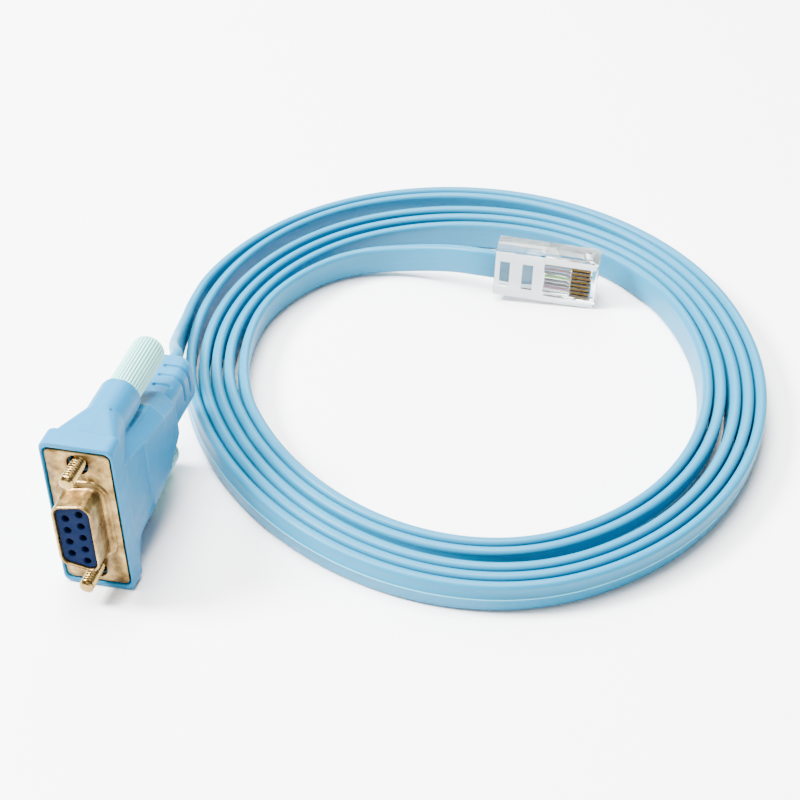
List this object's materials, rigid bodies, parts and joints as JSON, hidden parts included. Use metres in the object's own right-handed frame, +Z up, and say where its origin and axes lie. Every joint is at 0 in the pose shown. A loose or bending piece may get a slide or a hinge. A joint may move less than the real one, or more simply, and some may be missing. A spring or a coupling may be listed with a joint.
{
  "type": "rj45 console cable",
  "caption": "Flat console cable wound in an oval coil, with a D-shaped serial socket in a moulded thumbscrew hood at one end and a clear modular plug at the other.",
  "frame": {"origin": "middle of the foot of the standing socket connector, on the surface it stands on; the free cord and plug are left out of that box", "axes": "+Z up along the long side of the socket connector, -Y out of its mating face, +Y towards its strain relief, +X across its thickness towards the coil"},
  "size_m": [0.1299, 0.1498, 0.0338],
  "materials": {
    "hood": "moulded, satin",
    "knobs": "moulded, fine ribs",
    "front_shell": "plated, pale gold",
    "screws": "plated",
    "insulator": "moulded, deep blue",
    "gold_contacts": "gold plated",
    "cable_jacket": "flexible jacket, satin",
    "clear_plug": "clear",
    "wire_light": "insulated",
    "wire_dark": "insulated",
    "wire_red": "insulated",
    "wire_green": "insulated"
  },
  "bodies": {
    "root": {"blade_1": "gold_contacts", "blade_2": "gold_contacts", "blade_3": "gold_contacts", "blade_4": "gold_contacts", "blade_5": "gold_contacts", "blade_6": "gold_contacts", "blade_7": "gold_contacts", "blade_8": "gold_contacts", "cable_coil": "cable_jacket", "cable_lead": "cable_jacket", "cable_tail": "cable_jacket", "contact_1": "gold_contacts", "contact_2": "gold_contacts", "contact_3": "gold_contacts", "contact_4": "gold_contacts", "contact_5": "gold_contacts", "contact_6": "gold_contacts", "contact_7": "gold_contacts", "contact_8": "gold_contacts", "contact_9": "gold_contacts", "front_shell": "front_shell", "hood": "hood", "insulator": "insulator", "plug_housing": "clear_plug", "wire_1": "wire_light", "wire_2": "wire_dark", "wire_3": "wire_red", "wire_4": "wire_green", "wire_5": "wire_green", "wire_6": "wire_dark", "wire_7": "wire_dark", "wire_8": "wire_light"},
    "upper_thumbscrew": {"upper_knob": "knobs", "upper_screw": "screws"},
    "lower_thumbscrew": {"lower_knob": "knobs", "lower_screw": "screws"}
  },
  "joints": [
    {"name": "upper_thumbscrew_turn", "type": "hinge", "parent": "root", "child": "upper_thumbscrew", "pos_m": [0, 0, 0.0294], "axis": [0, 1, 0], "continuous": true},
    {"name": "lower_thumbscrew_turn", "type": "hinge", "parent": "root", "child": "lower_thumbscrew", "pos_m": [0, 0, 0.00441], "axis": [0, 1, 0], "continuous": true}
  ]
}
